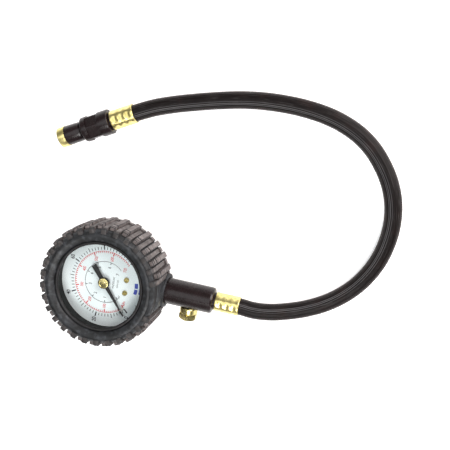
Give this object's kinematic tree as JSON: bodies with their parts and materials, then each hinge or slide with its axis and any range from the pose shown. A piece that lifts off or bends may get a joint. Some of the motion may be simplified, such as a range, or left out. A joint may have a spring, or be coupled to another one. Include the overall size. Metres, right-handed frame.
{
  "type": "dial tyre pressure gauge with hose",
  "caption": "Dial tyre pressure gauge in a tread-pattern rubber boot, with a black valve block, bleed button, flexible hose and straight brass-tipped swivel chuck.",
  "frame": {"origin": "centre of the boot's flat back face, on the dial's axis", "axes": "+Z along the dial's axis, out of its face; +X along the valve block towards the hose"},
  "size_m": [0.1709, 0.1341, 0.0269],
  "materials": {
    "boot_rubber": "matt moulded",
    "hose_rubber": "ribbed, satin",
    "seal_rubber": "matt",
    "black_coat": "gloss black",
    "bezel_black": "satin black",
    "pointer_black": "matt black",
    "dial_white": "matt white",
    "brass": "bright turned",
    "brass_plain": "plain",
    "bronze": "drawn",
    "steel": "plain",
    "nickel": "nickel plated",
    "lens_clear": "clear"
  },
  "bodies": {
    "gauge": {"rubber_boot": "boot_rubber", "case_can": "steel", "blowout_plug": "seal_rubber", "case_seal": "seal_rubber", "dial_ring": "bezel_black", "lens_gasket": "seal_rubber", "lens": "lens_clear", "bezel_ring": "bezel_black", "dial_plate": "dial_white", "dial_posts": "brass_plain", "dial_screws": "brass", "stop_pin": "nickel", "socket_block": "brass_plain", "tube_fixed_half": "bronze", "movement_back_plate": "brass_plain", "movement_front_plate": "brass_plain", "movement_pillars": "brass_plain", "plate_screws": "steel", "base_screws": "steel", "hairspring_stud": "brass_plain", "valve_block": "black_coat", "bleed_spring": "steel", "gauge_hose_barb": "black_coat", "gauge_ferrule": "brass", "hose": "hose_rubber", "chuck_ferrule": "brass", "chuck_hose_barb": "black_coat"},
    "pointer": {"pointer_shaft": "steel", "pinion": "steel", "hairspring": "bronze", "pointer_blade": "pointer_black", "pointer_cap": "brass"},
    "sector": {"sector_gear": "brass_plain", "sector_arbor": "steel"},
    "link": {"link_bar": "steel"},
    "tube_tip": {"tube_free_half": "bronze", "tube_end_cap": "brass_plain"},
    "bleed": {"bleed_button": "brass", "bleed_plunger": "brass_plain", "bleed_seal": "seal_rubber"},
    "chuck": {"chuck_body": "black_coat", "chuck_nose": "black_coat", "chuck_tip": "brass", "chuck_gasket": "seal_rubber", "swivel_seal": "seal_rubber", "chuck_spring": "steel"},
    "depressor": {"depressor_pin": "brass"}
  },
  "joints": [
    {"name": "sector_turn", "type": "hinge", "parent": "gauge", "child": "sector", "pos_m": [0.00891, 0.00891, 0.0104], "axis": [0, 0, 1], "range_deg": [0, 33.12], "stiffness_Nm_per_rad": 0.02, "springref_deg": -1.43},
    {"name": "pointer_spin", "type": "hinge", "parent": "gauge", "child": "pointer", "pos_m": [0, 0, 0.016], "axis": [0, 0, -1], "range_deg": [0, 265]},
    {"name": "link_turn", "type": "hinge", "parent": "sector", "child": "link", "pos_m": [0.01243, 0.01081, 0.01125], "axis": [0, 0, 1], "range_deg": [-33.12, 0]},
    {"name": "tube_flex", "type": "hinge", "parent": "gauge", "child": "tube_tip", "pos_m": [-0.01649, -0.00769, 0.0073], "axis": [0, 0, 1], "range_deg": [0, 3.88]},
    {"name": "bleed_press", "type": "slide", "parent": "gauge", "child": "bleed", "axis": [0, 0.9903, 0.1392], "range_m": [0, 0.0012], "stiffness_N_per_m": 1500, "springref_m": -0.001, "deforming": ["bleed_spring"]},
    {"name": "chuck_swivel", "type": "hinge", "parent": "gauge", "child": "chuck", "pos_m": [0, 0.083, 0.0061], "axis": [-0.891, -0.454, 0], "continuous": true},
    {"name": "depressor_push", "type": "slide", "parent": "chuck", "child": "depressor", "axis": [0.891, 0.454, 0], "range_m": [0, 0.0016], "stiffness_N_per_m": 800, "springref_m": -0.001, "deforming": ["chuck_spring"]}
  ],
  "couplings": [
    {"joint": "pointer_spin", "follows": "sector_turn", "ratio": 8},
    {"joint": "link_turn", "follows": "sector_turn", "ratio": -1},
    {"joint": "tube_flex", "follows": "sector_turn", "ratio": 0.1168}
  ]
}
